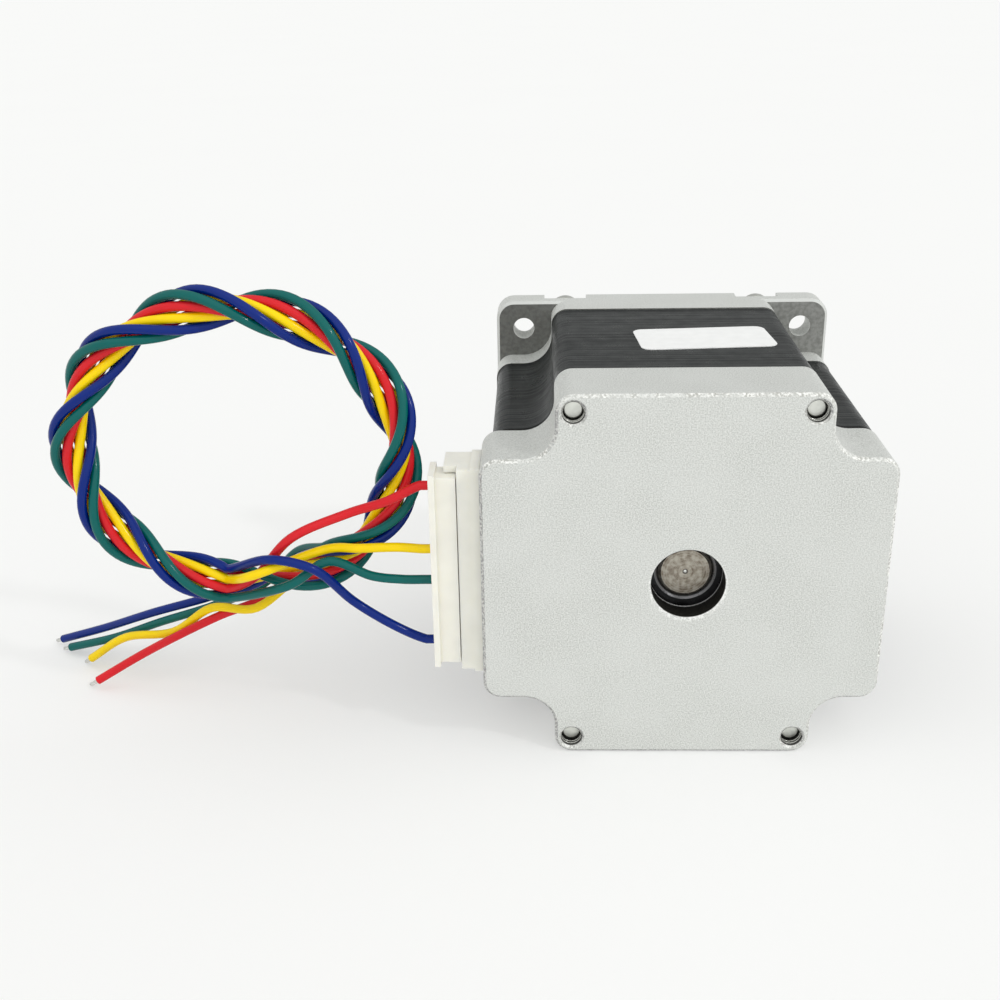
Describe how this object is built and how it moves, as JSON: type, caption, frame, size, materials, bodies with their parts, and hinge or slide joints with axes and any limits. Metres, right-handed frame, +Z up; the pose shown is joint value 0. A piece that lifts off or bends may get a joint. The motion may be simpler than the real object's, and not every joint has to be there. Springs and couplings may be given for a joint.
{
  "type": "hybrid stepping motor",
  "caption": "Square-flange hybrid stepping motor with a toothed rotor on ball bearings, a side connector and a pull-off plug with coiled leads.",
  "frame": {"origin": "centre of the front mounting face, on the shaft axis", "axes": "+Y along the shaft, out of the front mounting face; +Z up, square to the flat side that the motor lies on; +X away from the connector side"},
  "size_m": [0.1347, 0.0766, 0.0696],
  "materials": {
    "cast_aluminium": "blasted",
    "black_steel": "satin",
    "core_steel": "ground",
    "shaft_steel": "turned",
    "bearing_steel": "polished",
    "zinc_steel": "plated",
    "brass": "pressed",
    "copper": "enamelled",
    "magnet": "sintered",
    "board": "matte",
    "nylon": "satin",
    "tinned": "tinned",
    "label": "satin",
    "red_pvc": "gloss",
    "yellow_pvc": "gloss",
    "green_pvc": "gloss",
    "blue_pvc": "gloss"
  },
  "bodies": {
    "motor_frame": {"front_flange": "cast_aluminium", "rear_cap": "cast_aluminium", "stator_core": "black_steel", "front_bobbin": "nylon", "rear_bobbin": "nylon", "stator_coils": "copper", "connection_board": "board", "header_housing": "nylon", "header_pins": "tinned", "front_bearing_outer": "bearing_steel", "rear_bearing_outer": "bearing_steel", "front_bearing_shields": "bearing_steel", "rear_bearing_shields": "bearing_steel", "wave_washer": "bearing_steel", "through_screws": "zinc_steel", "rating_label": "label"},
    "rotor": {"shaft": "shaft_steel", "front_rotor_cup": "core_steel", "rear_rotor_cup": "core_steel", "rotor_magnet": "magnet", "front_bearing_inner": "bearing_steel", "rear_bearing_inner": "bearing_steel"},
    "front_ball_set": {"front_bearing_balls": "bearing_steel", "front_bearing_cage": "brass"},
    "rear_ball_set": {"rear_bearing_balls": "bearing_steel", "rear_bearing_cage": "brass"},
    "plug": {"plug_housing": "nylon", "crimp_terminals": "tinned", "wire_red": "red_pvc", "wire_yellow": "yellow_pvc", "wire_green": "green_pvc", "wire_blue": "blue_pvc", "stripped_ends": "tinned"}
  },
  "joints": [
    {"name": "shaft_spin", "type": "hinge", "parent": "motor_frame", "child": "rotor", "pos_m": [0, 0, 0], "axis": [0, 1, 0], "continuous": true},
    {"name": "front_balls_orbit", "type": "hinge", "parent": "motor_frame", "child": "front_ball_set", "pos_m": [0, -0.005, 0], "axis": [0, 1, 0], "continuous": true},
    {"name": "rear_balls_orbit", "type": "hinge", "parent": "motor_frame", "child": "rear_ball_set", "pos_m": [0, -0.0485, 0], "axis": [0, 1, 0], "continuous": true},
    {"name": "plug_pull", "type": "slide", "parent": "motor_frame", "child": "plug", "axis": [-1, 0, 0], "range_m": [0, 0.008]}
  ],
  "couplings": [
    {"joint": "front_balls_orbit", "follows": "shaft_spin", "ratio": 0.3677},
    {"joint": "rear_balls_orbit", "follows": "shaft_spin", "ratio": 0.3677}
  ]
}
